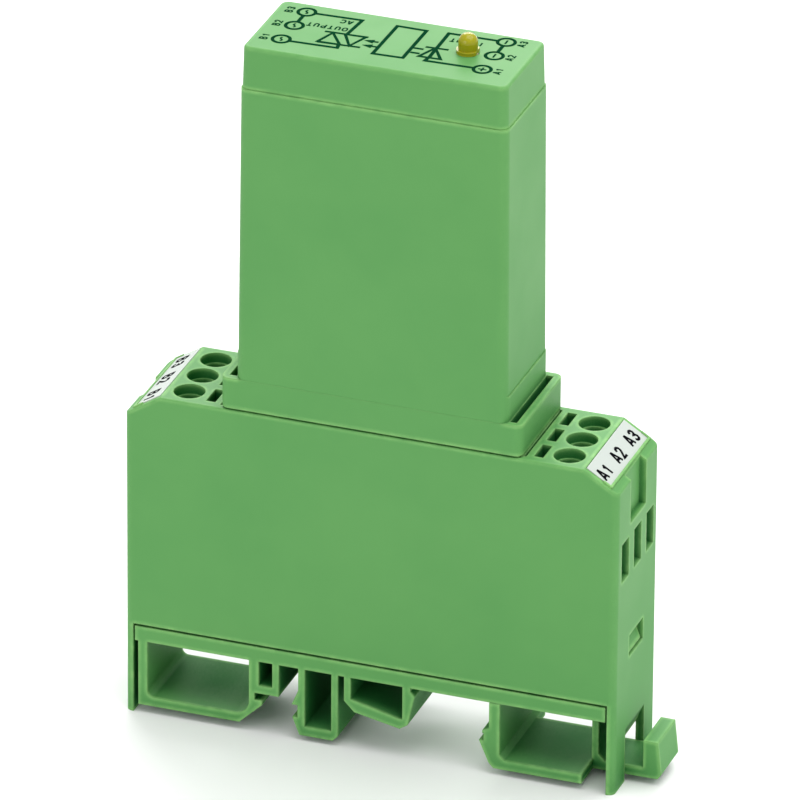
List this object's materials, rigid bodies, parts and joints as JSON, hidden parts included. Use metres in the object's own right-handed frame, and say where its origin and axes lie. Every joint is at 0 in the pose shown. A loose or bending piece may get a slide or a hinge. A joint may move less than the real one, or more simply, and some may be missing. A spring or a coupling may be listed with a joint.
{
  "type": "rail-mounted relay",
  "caption": "Slim solid-state interface relay in a green moulded housing with screw terminals at both ends, a tall hood with a status lamp and a foot that clips to the rail",
  "frame": {"origin": "on the rail's centre line, midway across the housing, in the plane of the rail's front face", "axes": "X along the housing from output to input terminals, Y across its width along the rail, Z away from the rail"},
  "size_m": [0.0805, 0.018, 0.112],
  "materials": {
    "housing_green": "moulded polyamide, fine matt texture",
    "marker_white": "smooth matt",
    "lamp_amber": "tinted clear epoxy",
    "lead_tin": "tinned wire",
    "screw_steel": "zinc plated",
    "clamp_steel": "zinc plated, stamped and bent",
    "bar_brass": "tin-washed strip",
    "board_laminate": "glass-fibre laminate with solder mask",
    "component_black": "moulded epoxy",
    "plate_aluminium": "sheet",
    "capacitor_red": "moulded box",
    "varistor_blue": "dipped epoxy",
    "resistor_tan": "lacquered ceramic"
  },
  "bodies": {
    "root": {"lower_housing": "housing_green", "mounting_foot": "housing_green", "upper_hood": "housing_green", "top_cap": "housing_green", "marker_strip_a": "marker_white", "marker_strip_b": "marker_white", "status_lamp": "lamp_amber", "lamp_leads": "lead_tin", "contact_bar_a1": "bar_brass", "contact_bar_a2": "bar_brass", "contact_bar_a3": "bar_brass", "contact_bar_b1": "bar_brass", "contact_bar_b2": "bar_brass", "contact_bar_b3": "bar_brass", "circuit_board": "board_laminate", "output_triac": "component_black", "optocoupler": "component_black", "input_transistor": "component_black", "input_diode": "component_black", "heat_plate": "plate_aluminium", "plate_screw": "screw_steel", "snubber_capacitor": "capacitor_red", "varistor": "varistor_blue", "snubber_resistor": "resistor_tan", "input_resistor": "resistor_tan"},
    "foot_latch": {"foot_latch": "housing_green"},
    "screw_a1": {"terminal_screw_a1": "screw_steel"},
    "clamp_a1": {"wire_clamp_a1": "clamp_steel"},
    "screw_a2": {"terminal_screw_a2": "screw_steel"},
    "clamp_a2": {"wire_clamp_a2": "clamp_steel"},
    "screw_a3": {"terminal_screw_a3": "screw_steel"},
    "clamp_a3": {"wire_clamp_a3": "clamp_steel"},
    "screw_b1": {"terminal_screw_b1": "screw_steel"},
    "clamp_b1": {"wire_clamp_b1": "clamp_steel"},
    "screw_b2": {"terminal_screw_b2": "screw_steel"},
    "clamp_b2": {"wire_clamp_b2": "clamp_steel"},
    "screw_b3": {"terminal_screw_b3": "screw_steel"},
    "clamp_b3": {"wire_clamp_b3": "clamp_steel"}
  },
  "joints": [
    {"name": "foot_latch_slide", "type": "slide", "parent": "root", "child": "foot_latch", "axis": [1, 0, 0], "range_m": [0, 0.0018], "stiffness_N_per_m": 3000},
    {"name": "screw_a1_turn", "type": "hinge", "parent": "root", "child": "screw_a1", "pos_m": [0.0289, -0.0054, 0.041], "axis": [0, 0, -1], "range_deg": [0, 2160]},
    {"name": "clamp_a1_lift", "type": "slide", "parent": "root", "child": "clamp_a1", "axis": [0, 0, 1], "range_m": [0, 0.003]},
    {"name": "screw_a2_turn", "type": "hinge", "parent": "root", "child": "screw_a2", "pos_m": [0.0289, 0, 0.041], "axis": [0, 0, -1], "range_deg": [0, 2160]},
    {"name": "clamp_a2_lift", "type": "slide", "parent": "root", "child": "clamp_a2", "axis": [0, 0, 1], "range_m": [0, 0.003]},
    {"name": "screw_a3_turn", "type": "hinge", "parent": "root", "child": "screw_a3", "pos_m": [0.0289, 0.0054, 0.041], "axis": [0, 0, -1], "range_deg": [0, 2160]},
    {"name": "clamp_a3_lift", "type": "slide", "parent": "root", "child": "clamp_a3", "axis": [0, 0, 1], "range_m": [0, 0.003]},
    {"name": "screw_b1_turn", "type": "hinge", "parent": "root", "child": "screw_b1", "pos_m": [-0.0289, -0.0054, 0.041], "axis": [0, 0, -1], "range_deg": [0, 2160]},
    {"name": "clamp_b1_lift", "type": "slide", "parent": "root", "child": "clamp_b1", "axis": [0, 0, 1], "range_m": [0, 0.003]},
    {"name": "screw_b2_turn", "type": "hinge", "parent": "root", "child": "screw_b2", "pos_m": [-0.0289, 0, 0.041], "axis": [0, 0, -1], "range_deg": [0, 2160]},
    {"name": "clamp_b2_lift", "type": "slide", "parent": "root", "child": "clamp_b2", "axis": [0, 0, 1], "range_m": [0, 0.003]},
    {"name": "screw_b3_turn", "type": "hinge", "parent": "root", "child": "screw_b3", "pos_m": [-0.0289, 0.0054, 0.041], "axis": [0, 0, -1], "range_deg": [0, 2160]},
    {"name": "clamp_b3_lift", "type": "slide", "parent": "root", "child": "clamp_b3", "axis": [0, 0, 1], "range_m": [0, 0.003]}
  ],
  "couplings": [
    {"joint": "screw_a1_turn", "follows": "clamp_a1_lift", "rad_per_m": 12566},
    {"joint": "screw_a2_turn", "follows": "clamp_a2_lift", "rad_per_m": 12566},
    {"joint": "screw_a3_turn", "follows": "clamp_a3_lift", "rad_per_m": 12566},
    {"joint": "screw_b1_turn", "follows": "clamp_b1_lift", "rad_per_m": 12566},
    {"joint": "screw_b2_turn", "follows": "clamp_b2_lift", "rad_per_m": 12566},
    {"joint": "screw_b3_turn", "follows": "clamp_b3_lift", "rad_per_m": 12566}
  ]
}
